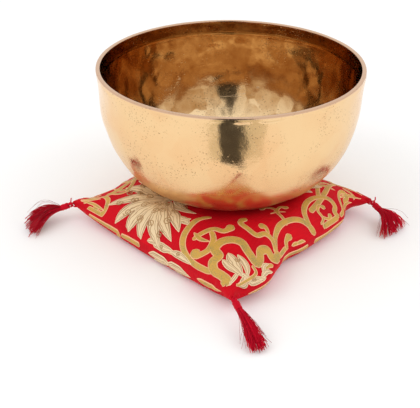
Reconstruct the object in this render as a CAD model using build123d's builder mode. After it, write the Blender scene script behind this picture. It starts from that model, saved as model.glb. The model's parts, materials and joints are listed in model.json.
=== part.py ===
"""A hammered bronze singing bowl resting in a brocade cushion with a tassel at each corner.

Millimetres, +Z up. The origin is the point of the table under the bowl's axis, and the cushion
lies on the table at Z = 0. The cushion's diagonals run close to X and Y.
"""

import os
from math import asin, cos, radians, sin, sqrt

from build123d import *

os.makedirs("parts", exist_ok=True)

# Bowl
rim_radius = 125.0
bowl_height = 118.0
base_radius = 57.0  # flat of the base
curve_height = 90.0  # height at which the curved wall turns upright
wall_thickness = 2.0
base_thickness = 2.4
lip_width = 4.0  # flat top of the rim, measured across
lip_height = 3.6
lip_overhang = 1.2  # how far the rim stands out from the wall below it
lip_rounding = 0.9
band_height = 13.0  # smooth band inside the rim
band_taper = 0.8  # how much the band thickens towards its lower edge
band_undercut = 1.6  # height of the slope below the band

# Cushion
cushion_side = 200.0
cushion_center_x = -5.0
cushion_center_y = -36.5
cushion_turn = 3.0  # degrees, from the X axis to the diagonal through the right corner
seam_height = 16.0
cushion_height = 40.0
waist = 4.0  # how far each side pulls in between its corners
corner_rounding = 6.0
fabric_thickness = 0.8
seat_height = 30.0  # underside of the bowl, sunk into the cushion
bowl_clearance = 0.35

# Profile of each half: (share of the half's height, inset of the outline in mm)
top_profile = ((0.0, 0.0), (0.38, 3.5), (0.72, 13.0), (0.93, 31.0), (1.0, 56.0))
bottom_profile = ((0.0, 0.0), (0.45, 5.0), (0.8, 14.0), (1.0, 30.0))

# Corner ears, which carry the tassels
ear_overhang = 4.6  # from the square's corner to the tip of an ear
ear_thickness = 1.2  # of each of its two layers
ear_radius = 3.3
ear_hole_radius = 1.6
ear_root = 16.0  # how far the ear runs back into the corner

# Tassels
loop_radius = 3.0
loop_cord_radius = 0.7
knot_radius = 2.8
knot_spacing = 7.8  # from the ear's hole to the knot's centre
stub_radius = 0.5
stub_reach = 5.6
socket_clearance = 0.3
socket_lip = 0.35  # thickness of the binding at the mouth of its socket
neck_length = 9.5
neck_core_radius = 2.2
binding_thickness = 0.8
skirt_mid = 0.55  # share of the flared length at which the middle section stands
skirt_mid_size = (6.2, 3.7)
skirt_end_size = (10.0, 3.0)
table_clearance = 0.4

# Corner name: (angle of the corner from the right-hand one, heading of its tassel, both in
# degrees, and the length of its skirt from the knot's centre)
corners = {
    "right": (0.0, -50.0, 40.0),
    "back": (90.0, 84.0, 45.0),
    "left": (180.0, 193.0, 47.0),
    "front": (270.0, -66.0, 44.0),
}

wall_radius = rim_radius - lip_overhang
inner_wall_radius = wall_radius - wall_thickness
band_radius = rim_radius - lip_width
ear_reach = cushion_side / sqrt(2) + ear_overhang  # from the cushion's centre to an ear's tip
binding_radius = neck_core_radius + binding_thickness
socket_radius = knot_radius + socket_clearance
core_socket = sqrt(socket_radius**2 - neck_core_radius**2)  # depth of the socket at the core
mouth_radius = binding_radius - socket_lip
neck_start = sqrt(socket_radius**2 - mouth_radius**2)


def upright_plane(height):
    """The XZ plane, with its origin on the bowl's axis at a height."""
    return Plane(origin=(0, 0, height), x_dir=(1, 0, 0), z_dir=(0, -1, 0))


def corner_point(angle, reach):
    """A point of the seam plane, on the cushion's diagonal at that angle."""
    heading = radians(angle + cushion_turn)
    return Vector(
        cushion_center_x + reach * cos(heading),
        cushion_center_y + reach * sin(heading),
        seam_height,
    )


def cushion_plane(height):
    """A level plane whose X axis is square to the cushion's right-hand side."""
    heading = radians(cushion_turn + 45)
    return Plane(
        origin=(cushion_center_x, cushion_center_y, height),
        x_dir=(cos(heading), sin(heading), 0),
        z_dir=(0, 0, 1),
    )


def cushion_section(height, inset):
    """The cushion's outline at a height: four sides that pull in, and rounded corners."""
    half = cushion_side / 2 - inset
    mid = half - waist * half / (cushion_side / 2)
    with BuildSketch(cushion_plane(height)) as section:
        with BuildLine():
            ThreePointArc((half, -half), (mid, 0), (half, half))
            ThreePointArc((half, half), (0, mid), (-half, half))
            ThreePointArc((-half, half), (-mid, 0), (-half, -half))
            ThreePointArc((-half, -half), (0, -mid), (half, -half))
        make_face()
        fillet(section.vertices(), corner_rounding)
    return section.sketch


def cushion_half(profile, far_height, skin):
    """One half of the cushion from the seam plane to far_height, taken in by a skin's thickness."""
    rise = far_height - seam_height
    rise = rise - skin if rise > 0 else rise + skin
    with BuildPart() as half:
        for share, inset in profile:
            add(cushion_section(seam_height + share * rise, inset + skin))
        loft()
    return half.part


def bowl_seat(clearance):
    """The space that the bowl's lower wall takes up in the cushion, with a clearance."""
    with BuildPart() as seat:
        with BuildSketch(upright_plane(seat_height)):
            with BuildLine():
                Line((0, -clearance), (base_radius, -clearance))
                EllipticalCenterArc(
                    (base_radius, curve_height),
                    wall_radius - base_radius + clearance,
                    curve_height + clearance,
                    start_angle=270,
                    arc_size=90,
                )
                Line((wall_radius + clearance, curve_height), (0, curve_height))
                Line((0, curve_height), (0, -clearance))
            make_face()
        revolve(axis=Axis.Z)
    return seat.part


def ears(direction):
    """The four ears of one cover: direction is 1 above the seam and -1 below it."""
    with BuildPart() as layer:
        for angle, _, _ in corners.values():
            tip = corner_point(angle, ear_reach - ear_radius)
            root = corner_point(angle, ear_reach - ear_radius - ear_root)
            with BuildSketch(Plane(origin=(tip + root) / 2, x_dir=tip - root, z_dir=(0, 0, 1))):
                SlotCenterToCenter(ear_root, 2 * ear_radius)
            extrude(amount=direction * ear_thickness)
    return layer.part


def ear_holes():
    """The holes through the ears, which the loops pass through."""
    with BuildPart() as holes:
        for angle, _, _ in corners.values():
            with BuildSketch(Plane(origin=corner_point(angle, ear_reach - ear_radius))):
                Circle(ear_hole_radius)
            extrude(amount=2 * ear_thickness, both=True)
    return holes.part


# The bowl: a flat base, a wall that curves up from it, and a thick lip with a band inside.
with BuildPart() as bowl:
    with BuildSketch(upright_plane(seat_height)):
        with BuildLine():
            Line((0, 0), (base_radius, 0))
            EllipticalCenterArc(
                (base_radius, curve_height),
                wall_radius - base_radius,
                curve_height,
                start_angle=270,
                arc_size=90,
            )
            Polyline(
                (wall_radius, curve_height),
                (wall_radius, bowl_height - lip_height - lip_overhang / 2),
                (rim_radius, bowl_height - lip_height),
                (rim_radius, bowl_height),
                (band_radius, bowl_height),
                (band_radius - band_taper, bowl_height - band_height),
                (inner_wall_radius, bowl_height - band_height - band_undercut),
                (inner_wall_radius, curve_height),
            )
            EllipticalCenterArc(
                (base_radius, curve_height),
                inner_wall_radius - base_radius,
                curve_height - base_thickness,
                start_angle=270,
                arc_size=90,
            )
            Line((base_radius, base_thickness), (0, base_thickness))
            Line((0, base_thickness), (0, 0))
        make_face()
    revolve(axis=Axis.Z)
    fillet(bowl.edges().group_by(Axis.Z)[-1], lip_rounding)

# The cushion's stuffing.
with BuildPart() as stuffing:
    add(cushion_half(top_profile, cushion_height, fabric_thickness))
    add(cushion_half(bottom_profile, 0.0, fabric_thickness))
    add(bowl_seat(bowl_clearance + fabric_thickness), mode=Mode.SUBTRACT)

# The part of the upper cover that the bowl presses down into the stuffing.
with BuildPart() as dented_skin:
    add(cushion_half(top_profile, cushion_height, fabric_thickness))
    add(bowl_seat(bowl_clearance + fabric_thickness), mode=Mode.INTERSECT)

# The upper cover, dented where the bowl sits.
with BuildPart() as top_cover:
    add(cushion_half(top_profile, cushion_height, 0.0))
    add(ears(1))
    add(cushion_half(top_profile, cushion_height, fabric_thickness), mode=Mode.SUBTRACT)
    add(dented_skin.part)
    add(bowl_seat(bowl_clearance), mode=Mode.SUBTRACT)
    add(ear_holes(), mode=Mode.SUBTRACT)

# The lower cover, flat where it lies on the table.
with BuildPart() as bottom_cover:
    add(cushion_half(bottom_profile, 0.0, 0.0))
    add(ears(-1))
    add(cushion_half(bottom_profile, 0.0, fabric_thickness), mode=Mode.SUBTRACT)
    add(ear_holes(), mode=Mode.SUBTRACT)

bowl.part.label = "bowl"
stuffing.part.label = "cushion_stuffing"
top_cover.part.label = "cushion_top_cover"
bottom_cover.part.label = "cushion_bottom_cover"
pieces = [bowl.part, stuffing.part, top_cover.part, bottom_cover.part]

# The tassels: a loop through the ear's hole, a knot on the loop, and a bound skirt of threads.
for corner, (angle, heading_degrees, skirt_length) in corners.items():
    heading = radians(heading_degrees)
    droop = asin((seam_height - skirt_end_size[1] - table_clearance) / skirt_length)
    outward = Vector(cos(heading), sin(heading), 0)
    sideways = Vector(-sin(heading), cos(heading), 0)
    along = Vector(outward.X * cos(droop), outward.Y * cos(droop), -sin(droop))
    hole = corner_point(angle, ear_reach - ear_radius)
    knot_center = hole + outward * knot_spacing
    tassel_base = Plane(origin=knot_center, x_dir=sideways, z_dir=along)
    tassel_profile = Plane(origin=knot_center, x_dir=sideways, z_dir=sideways.cross(along))

    with BuildPart() as loop:
        with BuildSketch(Plane(origin=hole, x_dir=outward, z_dir=(0, 0, 1))):
            Circle(loop_cord_radius)
        revolve(axis=Axis(hole + outward * loop_radius, sideways))

    with BuildPart() as knot:
        with Locations(Plane(origin=knot_center, x_dir=sideways, z_dir=(0, 0, 1))):
            Sphere(knot_radius)
        for side in (-1, 1):
            stub_direction = outward * -0.3 + sideways * 0.85 * side + Vector(0, 0, 0.45)
            with BuildSketch(Plane(origin=knot_center, z_dir=stub_direction)):
                Circle(stub_radius)
            extrude(amount=stub_reach)
        add(loop.part, mode=Mode.SUBTRACT)

    with BuildPart() as skirt:
        with BuildSketch(tassel_profile):
            with BuildLine():
                Line((0, socket_radius), (0, neck_length))
                Line((0, neck_length), (neck_core_radius, neck_length))
                Line((neck_core_radius, neck_length), (neck_core_radius, core_socket))
                RadiusArc((neck_core_radius, core_socket), (0, socket_radius), -socket_radius)
            make_face()
        revolve(axis=Axis(knot_center, along))
        flare = skirt_length - neck_length
        with BuildSketch(tassel_base.offset(neck_length)):
            Circle(neck_core_radius)
        with BuildSketch(tassel_base.offset(neck_length + skirt_mid * flare)):
            Ellipse(*skirt_mid_size)
        with BuildSketch(tassel_base.offset(skirt_length)):
            Ellipse(*skirt_end_size)
        loft()

    with BuildPart() as binding:
        with BuildSketch(tassel_profile):
            with BuildLine():
                Line((neck_core_radius, core_socket), (neck_core_radius, neck_length))
                Line((neck_core_radius, neck_length), (binding_radius, neck_length))
                Line((binding_radius, neck_length), (binding_radius, neck_start))
                Line((binding_radius, neck_start), (mouth_radius, neck_start))
                RadiusArc((mouth_radius, neck_start), (neck_core_radius, core_socket), -socket_radius)
            make_face()
        revolve(axis=Axis(knot_center, along))

    for name, piece in (("loop", loop), ("knot", knot), ("binding", binding), ("skirt", skirt)):
        piece.part.label = f"tassel_{corner}_{name}"
        pieces.append(piece.part)

for piece in pieces:
    export_step(piece, f"parts/{piece.label}.step")
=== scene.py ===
import json
import math
import random

import bmesh
import bpy
import numpy as np
from mathutils import Matrix, Vector


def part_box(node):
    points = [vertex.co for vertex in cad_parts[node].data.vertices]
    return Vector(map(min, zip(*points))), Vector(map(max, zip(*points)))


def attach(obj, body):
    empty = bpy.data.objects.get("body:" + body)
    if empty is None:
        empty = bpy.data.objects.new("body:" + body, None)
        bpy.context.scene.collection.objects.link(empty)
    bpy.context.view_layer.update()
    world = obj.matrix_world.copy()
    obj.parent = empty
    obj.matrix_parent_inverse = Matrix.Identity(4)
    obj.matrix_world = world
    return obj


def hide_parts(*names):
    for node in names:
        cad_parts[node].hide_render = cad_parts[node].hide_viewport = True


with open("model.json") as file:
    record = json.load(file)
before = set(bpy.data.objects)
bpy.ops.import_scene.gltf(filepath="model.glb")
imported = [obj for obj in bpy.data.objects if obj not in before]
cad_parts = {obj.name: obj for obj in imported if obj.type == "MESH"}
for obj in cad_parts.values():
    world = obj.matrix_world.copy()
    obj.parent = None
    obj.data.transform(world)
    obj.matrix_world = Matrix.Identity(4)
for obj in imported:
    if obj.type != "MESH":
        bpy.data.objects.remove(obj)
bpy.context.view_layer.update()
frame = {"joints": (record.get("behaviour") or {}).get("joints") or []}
scene = bpy.context.scene
sides = ("left", "front", "right", "back")


def makeObject(name, mesh):
    made = bpy.data.objects.new(name, mesh)
    scene.collection.objects.link(made)
    return made


def makeMesh(name, points, faces, smooth=True):
    mesh = bpy.data.meshes.new(name)
    mesh.from_pydata([tuple(map(float, p)) for p in points], [], faces)
    mesh.update()
    if smooth:
        mesh.shade_smooth()
    return makeObject(name, mesh)


def fillInputs(tree, node, inputs):
    # each input is linked to a socket or set to a plain value
    for key, value in inputs.items():
        if isinstance(value, bpy.types.NodeSocket):
            tree.links.new(value, node.inputs[key])
        else:
            node.inputs[key].default_value = value


def addNode(tree, kind, inputs=None, **settings):
    made = tree.nodes.new(kind)
    for key, value in settings.items():
        setattr(made, key, value)
    fillInputs(tree, made, inputs or {})
    return made


def addMath(tree, operation, first, second=0.0):
    return addNode(tree, "ShaderNodeMath", {0: first, 1: second}, operation=operation).outputs[0]


def plus(tree, first, second):
    return addMath(tree, "ADD", first, second)


def minus(tree, first, second):
    return addMath(tree, "SUBTRACT", first, second)


def times(tree, first, second):
    return addMath(tree, "MULTIPLY", first, second)


def newGeometryTree(name, inputs):
    tree = bpy.data.node_groups.new(name, "GeometryNodeTree")
    tree.interface.new_socket("Geometry", in_out="INPUT", socket_type="NodeSocketGeometry")
    for label, kind in inputs.items():
        tree.interface.new_socket(label, in_out="INPUT", socket_type="NodeSocket" + kind)
    tree.interface.new_socket("Geometry", in_out="OUTPUT", socket_type="NodeSocketGeometry")
    return tree, tree.nodes.new("NodeGroupInput").outputs


def endGeometryTree(tree, geometry, material):
    solid = addNode(tree, "GeometryNodeRealizeInstances", {"Geometry": geometry})
    painted = addNode(tree, "GeometryNodeSetMaterial", {"Geometry": solid.outputs[0], "Material": material})
    addNode(tree, "NodeGroupOutput", {0: painted.outputs[0]})


def readAttribute(tree, name, kind="FLOAT"):
    return addNode(tree, "GeometryNodeInputNamedAttribute", {"Name": name}, data_type=kind).outputs[0]


def storeAttribute(tree, geometry, name, value, kind="FLOAT", domain="POINT"):
    inputs = {"Geometry": geometry, "Name": name, "Value": value}
    made = addNode(tree, "GeometryNodeStoreNamedAttribute", inputs, data_type=kind, domain=domain)
    return made.outputs[0]


def smoothShaded(tree, geometry):
    inputs = {"Geometry": geometry, "Shade Smooth": True}
    return addNode(tree, "GeometryNodeSetShadeSmooth", inputs).outputs[0]


def evaluatedMesh(source):
    # the object's mesh with its modifiers applied
    depsgraph = bpy.context.evaluated_depsgraph_get()
    made = source.evaluated_get(depsgraph)
    return bpy.data.meshes.new_from_object(made, preserve_all_data_layers=True, depsgraph=depsgraph)


def runTree(source, tree, values, name):
    # runs a node tree on an object and keeps the result as a plain mesh
    modifier = source.modifiers.new(tree.name, "NODES")
    modifier.node_group = tree
    for socket in tree.interface.items_tree:
        if socket.in_out == "INPUT" and socket.name in values:
            modifier[socket.identifier] = values[socket.name]
    mesh = evaluatedMesh(source)
    bpy.data.objects.remove(source)
    mesh.name = name
    return makeObject(name, mesh)


def newMaterial(name):
    material = bpy.data.materials.new(name)
    material.use_nodes = True
    tree = material.node_tree
    shader = next(n for n in tree.nodes if n.type == "BSDF_PRINCIPLED")
    return material, tree, shader


def addVector(tree, operation, first, second=(0, 0, 0), scale=1.0):
    inputs = {0: first, 1: second, 3: scale}
    return addNode(tree, "ShaderNodeVectorMath", inputs, operation=operation).outputs[0]


def mixColor(tree, share, first, second):
    return addNode(tree, "ShaderNodeMix", {0: share, 6: first, 7: second}, data_type="RGBA").outputs[2]


def ramp(tree, value, low, high):
    # 0 below low, 1 above high
    return addNode(tree, "ShaderNodeMapRange", {0: value, 1: low, 2: high}).outputs[0]


def noise(tree, vector, scale, detail=3.0, rough=0.5):
    return addNode(tree, "ShaderNodeTexNoise",
                   {"Vector": vector, "Scale": scale, "Detail": detail, "Roughness": rough}).outputs[0]


def stretched(tree, vector, scale, turn=(0, 0, 0)):
    inputs = {"Vector": vector, "Rotation": turn, "Scale": scale}
    return addNode(tree, "ShaderNodeMapping", inputs).outputs[0]


def addBump(tree, height, strength, distance):
    return addNode(tree, "ShaderNodeBump", {"Height": height, "Strength": strength, "Distance": distance})


def turnOutward(mesh):
    # the faces of a closed shape, its outside outwards
    kit = bmesh.new()
    kit.from_mesh(mesh)
    bmesh.ops.recalc_face_normals(kit, faces=kit.faces)
    kit.to_mesh(mesh)
    kit.free()


bronzeLook = {
    "outside": (0.87, 0.60, 0.32, 1),
    "outsideWarm": (0.84, 0.52, 0.26, 1),
    # the inside tones are painted darker than the outside: painted shade for the dim reflections within the
    # bowl, varied by tarnish patches
    "inside": (0.66, 0.40, 0.18, 1),
    "insideShadeAndTarnish": (0.46, 0.22, 0.07, 1),
    "belt": (0.50, 0.30, 0.13, 1),
    "beltDark": (0.30, 0.15, 0.05, 1),
    # the floor tones are painted brighter than the walls: a painted reflection of the light falling into
    # the bowl
    "floor": (0.96, 0.70, 0.40, 1),
    "litFloorDark": (0.72, 0.46, 0.22, 1),
    "rim": (0.68, 0.44, 0.29, 1),
    "pit": (0.32, 0.20, 0.09, 1),
    "scratch": (0.92, 0.70, 0.46, 1),
    "pitsPerMetre": 430.0,
    # turn, lean and spacing of each lot of scratches
    "scratchWays": ((0.15, 0.0, 90), (0.6, 0.5, 120), (-0.5, -0.6, 110), (-0.1, 0.25, 75)),
    "litFloorHeights": (0.052, 0.076),  # above the table
    "footHeights": (0.048, 0.098),
    "swellHeights": (0.022, 0.122),
    "polish": 0.08,  # roughness of the clean outside
    "scratchBump": 0.00004,
    "swell": 0.009,
}


def makeBronze():
    material, tree, shader = newMaterial("hammered_bronze")
    place = addNode(tree, "ShaderNodeTexCoord").outputs["Object"]
    level = addNode(tree, "ShaderNodeSeparateXYZ", {0: place}).outputs[2]
    inside = addNode(tree, "ShaderNodeAttribute", attribute_name="inside").outputs["Fac"]
    lip = addNode(tree, "ShaderNodeAttribute", attribute_name="lip").outputs["Fac"]
    band = addNode(tree, "ShaderNodeAttribute", attribute_name="band").outputs["Fac"]

    # each hammer mark has its own tone; broad patches of tarnish lie over them
    wander = addNode(tree, "ShaderNodeTexNoise", {"Vector": place, "Scale": 60.0}).outputs["Color"]
    wander = addVector(tree, "SCALE", wander, scale=0.012)
    bent = addVector(tree, "ADD", place, wander)
    facet = addNode(tree, "ShaderNodeTexVoronoi", {"Vector": bent, "Scale": 46.0, "Smoothness": 0.12},
                    feature="SMOOTH_F1").outputs["Color"]
    tone = addNode(tree, "ShaderNodeSeparateColor", {0: facet}).outputs[0]
    cloud = noise(tree, place, 14, 4)
    fine = noise(tree, place, 75, 5, 0.6)
    warmth = ramp(tree, plus(tree, cloud, times(tree, tone, 0.12)), 0.46, 0.74)
    outer = mixColor(tree, warmth, bronzeLook["outside"], bronzeLook["outsideWarm"])
    # the inside is painted darker than the outside, painted shade in place of its dim reflections; random
    # tarnish patches darken it further
    tarnish = plus(tree, times(tree, tone, 0.36), times(tree, fine, 0.75))
    inner = mixColor(tree, ramp(tree, tarnish, 0.42, 0.82), bronzeLook["inside"], bronzeLook["insideShadeAndTarnish"])
    # the floor is painted brighter than the walls, a painted reflection of the light falling into the bowl
    litFloor = mixColor(tree, ramp(tree, tarnish, 0.50, 0.90), bronzeLook["floor"], bronzeLook["litFloorDark"])
    aboveFloor = ramp(tree, plus(tree, level, times(tree, tone, 0.020)), *bronzeLook["litFloorHeights"])
    inner = mixColor(tree, minus(tree, 1.0, aboveFloor), inner, litFloor)
    brushed = noise(tree, stretched(tree, place, (26, 26, 90)), 1.0, 4, 0.6)
    belt = mixColor(tree, ramp(tree, brushed, 0.40, 0.60), bronzeLook["beltDark"], bronzeLook["belt"])
    inner = mixColor(tree, band, inner, belt)
    color = mixColor(tree, inside, outer, inner)
    color = mixColor(tree, lip, color, bronzeLook["rim"])

    # clusters of small pits outside
    dots = addNode(tree, "ShaderNodeTexVoronoi", {"Vector": place, "Scale": bronzeLook["pitsPerMetre"]})
    cluster = ramp(tree, noise(tree, place, 34, 3), 0.46, 0.60)
    pits = times(tree, minus(tree, 1.0, ramp(tree, dots.outputs["Distance"], 0.14, 0.30)), cluster)
    color = mixColor(tree, times(tree, pits, 0.7), color, bronzeLook["pit"])

    # fine polishing lines round the bowl, and a few crossing scratches inside
    lines = noise(tree, stretched(tree, place, (18, 18, 900)), 1.0, 4, 0.65)
    marks = None
    for turn, lean, spacing in bronzeLook["scratchWays"]:
        drawn = stretched(tree, place, (spacing * 0.25, spacing * 6, spacing * 6), (0, lean, turn))
        streak = ramp(tree, noise(tree, drawn, 1.0, 1), 0.68, 0.76)
        marks = streak if marks is None else addMath(tree, "MAXIMUM", marks, streak)
    marks = times(tree, marks, ramp(tree, noise(tree, place, 22, 1), 0.50, 0.58))
    marks = times(tree, marks, inside)
    color = mixColor(tree, times(tree, marks, 0.4), color, bronzeLook["scratch"])

    # duller towards the foot, in the scratches and in the pits
    foot = minus(tree, 1.0, ramp(tree, level, *bronzeLook["footHeights"]))
    rough = plus(tree, bronzeLook["polish"], times(tree, cloud, 0.10))
    rough = plus(tree, rough, times(tree, foot, minus(tree, 0.26, times(tree, inside, 0.16))))
    rough = plus(tree, rough, times(tree, marks, 0.18))
    rough = plus(tree, rough, times(tree, pits, 0.25))
    rough = plus(tree, rough, times(tree, inside, minus(tree, times(tree, tone, 0.08), 0.06)))

    height = plus(tree, times(tree, lines, 0.4), times(tree, fine, 9.0))
    height = minus(tree, height, times(tree, pits, 1.5))
    height = plus(tree, height, times(tree, marks, 0.6))
    # the outside swells gently between its foot and its shoulder
    low, high = bronzeLook["swellHeights"]
    swell = addNode(tree, "ShaderNodeMapRange", {0: level, 1: low, 2: high, 3: 1.0, 4: 0.0},
                    interpolation_type="SMOOTHSTEP").outputs[0]
    body = addBump(tree, times(tree, swell, minus(tree, 1.0, inside)), 1.0, bronzeLook["swell"])
    bump = addBump(tree, height, 0.6, bronzeLook["scratchBump"])
    fillInputs(tree, bump, {"Normal": body.outputs[0]})
    inputs = {"Base Color": color, "Metallic": 1.0, "Roughness": rough, "Normal": bump.outputs[0]}
    fillInputs(tree, shader, inputs)
    return material


bowlShape = {
    "around": 400,
    "baseRadius": 0.057,
    "curveHeight": 0.090,
    "fuller": 0.94,
    "wall": 0.0020,
    "base": 0.0024,
    "lipWidth": 0.0040,
    "lipHeight": 0.0036,
    "overhang": 0.0012,
    "step": 0.00015,
    "rounding": 0.0009,
    "bandStart": 0.0022,
    "bandHeight": 0.0130,
    "bandTaper": 0.0008,
    "undercut": 0.0016,
}


def bowlProfile():
    # radius, height, inside, lip and hammered share, from below the bowl over its rim to its floor
    low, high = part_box("bowl")
    s = bowlShape
    rim, tall = high.x, high.z - low.z
    wall = rim - s["overhang"]
    inner = wall - s["wall"]
    band = rim - s["lipWidth"]
    curve = s["curveHeight"]

    def arc(radius, drop, count):
        spread = radius - s["baseRadius"]
        return [(s["baseRadius"] + spread * math.sin(a) ** s["fuller"], curve - drop * math.cos(a))
                for a in np.linspace(0, math.pi / 2, count)]

    def corner(x, z, start):
        angles = [math.radians(start + 90 * k / 4) for k in range(5)]
        return [(x + s["rounding"] * math.cos(a), z + s["rounding"] * math.sin(a)) for a in angles]

    out = [(r, 0.0) for r in np.linspace(0.002, s["baseRadius"], 16)[:-1]]
    out += arc(wall, curve, 60)
    # the wall flares a little towards the lip, which stands out by a fine step
    flare, rise = s["overhang"] - s["step"], tall - s["lipHeight"] - curve
    out += [(wall + flare * k ** 2, curve + rise * k) for k in np.linspace(0, 1, 11)[1:]]
    profile = [(r, z, 0, 0, 1.0) for r, z in out]
    profile += [(rim, tall - s["lipHeight"] + k, 0, 0, 0.2) for k in (0.0004, 0.0007, 0.0020)]
    lip = corner(rim - s["rounding"], tall - s["rounding"], 0)
    lip += corner(band + s["rounding"], tall - s["rounding"], 90)
    profile += [(r, z, 0, 1, 0.2) for r, z in lip]
    edge = band - s["bandTaper"]
    bandLow = tall - s["bandHeight"]
    bandTop = tall - s["bandStart"]
    profile += [(band + (edge - band) * k, bandTop + (bandLow - bandTop) * k, 1, 0, 0.25)
                for k in np.linspace(0, 1, 7)]
    profile += [(inner, bandLow - s["undercut"], 1, 0, 0.6)]
    ins = [(inner, z) for z in np.linspace(bandLow - s["undercut"], curve, 8)[1:]]
    ins += arc(inner, curve - s["base"], 60)[::-1][1:]
    ins += [(r, s["base"]) for r in np.linspace(s["baseRadius"], 0.002, 16)[1:]]
    profile += [(r, z, 1, 0, 1.0) for r, z in ins]
    return [(r, z + low.z, i, l, h) for r, z, i, l, h in profile]


hammerLook = {
    "Outside Scale": 36.0,
    "Outside Depth": 0.00105,
    "Inside Scale": 46.0,
    "Inside Depth": 0.00110,
    "Sway": 0.00200,
}


def makeHammerTree(material):
    # dishes the metal between voronoi ridges, softly outside and crisply inside
    tree, given = newGeometryTree("hammering", {k: "Float" for k in hammerLook})
    place = addNode(tree, "GeometryNodeInputPosition").outputs[0]
    normal = addNode(tree, "GeometryNodeInputNormal").outputs[0]
    inside, amount = readAttribute(tree, "inside"), readAttribute(tree, "hammered")

    def dishes(scale, smoothness):
        inputs = {"Vector": place, "Scale": scale, "Smoothness": smoothness}
        return addNode(tree, "ShaderNodeTexVoronoi", inputs, feature="SMOOTH_F1").outputs["Distance"]

    soft, crisp = dishes(given["Outside Scale"], 0.7), dishes(given["Inside Scale"], 0.25)
    sway = minus(tree, noise(tree, place, 26, 2), 0.5)
    outer = times(tree, addMath(tree, "POWER", soft, 2.0), given["Outside Depth"])
    inner = times(tree, addMath(tree, "POWER", crisp, 2.0), given["Inside Depth"])
    lift = addNode(tree, "ShaderNodeMix", {0: inside, 2: outer, 3: inner}).outputs[0]
    lift = plus(tree, lift, times(tree, sway, given["Sway"]))
    lift = times(tree, lift, amount)
    offset = addVector(tree, "SCALE", normal, scale=lift)
    moved = addNode(tree, "GeometryNodeSetPosition", {"Geometry": given["Geometry"], "Offset": offset})
    endGeometryTree(tree, moved.outputs[0], material)
    return tree


def makeBowl():
    profile = bowlProfile()
    count = bowlShape["around"]
    turns = np.arange(count) * 2 * math.pi / count
    points = [(r * math.cos(a), r * math.sin(a), z) for r, z, *_ in profile for a in turns]
    rows = len(profile)
    points += [(0, 0, profile[0][1]), (0, 0, profile[-1][1])]
    faces = []
    for row in range(rows - 1):
        for k in range(count):
            n = (k + 1) % count
            faces.append((row * count + k, row * count + n, (row + 1) * count + n, (row + 1) * count + k))
    last = (rows - 1) * count
    for k in range(count):
        n = (k + 1) % count
        faces.append((n, k, rows * count))
        faces.append((last + k, last + n, rows * count + 1))
    raw = makeMesh("bowl_raw", points, faces)
    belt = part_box("bowl")[1].z - bowlShape["bandHeight"] - 0.0005
    profile = [(*row, 1.0 if row[2] and row[1] > belt else 0.0) for row in profile]
    columns = (("inside", 2, (0, 1)), ("lip", 3, (0, 0)), ("hammered", 4, (1, 1)), ("band", 5, (0, 0)))
    for name, column, ends in columns:
        values = [row[column] for row in profile for _ in range(count)] + list(ends)
        raw.data.attributes.new(name, "FLOAT", "POINT").data.foreach_set("value", values)
    bowl = runTree(raw, makeHammerTree(makeBronze()), hammerLook, "hammered_bowl")
    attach(bowl, "bowl")
    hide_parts("bowl")
    print("bowl done,", len(bowl.data.polygons), "faces")


cushionShape = {
    "side": 0.2090,
    "cells": 100,
    "seamHeight": 0.016,
    "seamDip": 0.003,
    "crown": 0.022,
    "softness": 0.7,
    "frontBow": -0.015,
    "backBow": -0.090,
    "topRoll": 0.001,
    "bottomRoll": 0.005,
    "shoulder": 0.45,
    "clearance": 0.0009,
    "simScale": 10.0,  # the cloth is worked at ten times its size
    "frames": 20,
    "fullness": 0.8,  # litres
    # places where a front or back side is drawn in: place along it, share of half a side, breadth
    "frontPinches": [(0.80, 0.078, 0.17), (-0.20, 0.030, 0.12), (-0.72, -0.065, 0.24)],
    "backPinches": [(-0.74, 0.060, 0.18)],
}


def cushionFrame():
    # the cushion's middle, and the directions of its right-hand and back corners
    joints = {j["name"]: Vector(j["pos_m"]) for j in frame["joints"] if "pos_m" in j}
    corner = {side: joints[side + "_tassel_swing"] for side in sides}
    middle = (corner["left"] + corner["right"]) / 2
    right = (corner["right"] - corner["left"]).normalized()
    back = (corner["back"] - corner["front"]).normalized()
    return Vector((middle.x, middle.y, 0)), right, back


def bowlUnderside(radius):
    s = bowlShape
    low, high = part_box("bowl")
    wall = high.x - s["overhang"]
    share = np.clip((radius - s["baseRadius"]) / (wall - s["baseRadius"]), 0, 1)
    height = s["curveHeight"] * (1 - np.sqrt(1 - share ** (2 / s["fuller"])))
    return low.z + height + np.where(radius > wall, 1.0, 0.0)


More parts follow.
